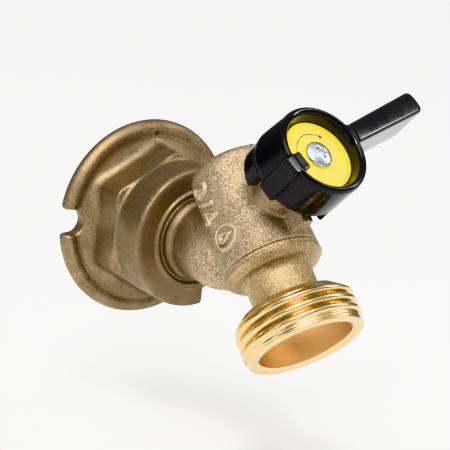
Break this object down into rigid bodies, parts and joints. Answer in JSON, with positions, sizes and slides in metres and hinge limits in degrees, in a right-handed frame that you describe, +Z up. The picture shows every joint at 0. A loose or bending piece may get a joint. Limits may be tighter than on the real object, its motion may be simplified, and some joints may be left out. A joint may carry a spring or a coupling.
{
  "type": "hose bib",
  "caption": "Quarter-turn brass hose bib with a round slotted wall flange, angled garden-hose spout and black lever handle.",
  "frame": {"origin": "centre of the wall flange's back face, on the inlet thread's axis", "axes": "+Y into the wall, along the inlet thread's axis; -Y out of the wall; +Z up; X to the side, with the casting's parting plane at X = 0"},
  "size_m": [0.0548, 0.0727, 0.0616],
  "materials": {
    "cast_brass": "sand-cast, rough, brown-gold",
    "machined_brass": "turned and bright",
    "chromed_ball": "polished chrome plate",
    "ptfe": "smooth white PTFE",
    "rubber": "matt black nitrile",
    "black_handle": "glossy black",
    "yellow_label": "satin yellow",
    "zinc_screw": "bright zinc plate"
  },
  "bodies": {
    "body": {"valve_body": "cast_brass", "outlet_spout": "machined_brass", "spout_o_ring": "rubber", "outlet_seat": "ptfe", "upper_seat": "ptfe", "seat_energizer": "rubber", "packing_washer": "machined_brass", "packing_ring_lower": "ptfe", "packing_ring_upper": "ptfe", "packing_follower": "machined_brass", "packing_nut": "machined_brass"},
    "handle": {"handle": "black_handle", "handle_label": "yellow_label", "handle_screw": "zinc_screw", "stem": "machined_brass", "thrust_washer": "ptfe", "stem_o_ring_lower": "rubber", "stem_o_ring_upper": "rubber", "ball": "chromed_ball"}
  },
  "joints": [
    {"name": "handle_turn", "type": "hinge", "parent": "body", "child": "handle", "pos_m": [0, -0.04205, 0.0091], "axis": [0, -0.7071, 0.7071], "range_deg": [-9, 81]}
  ]
}
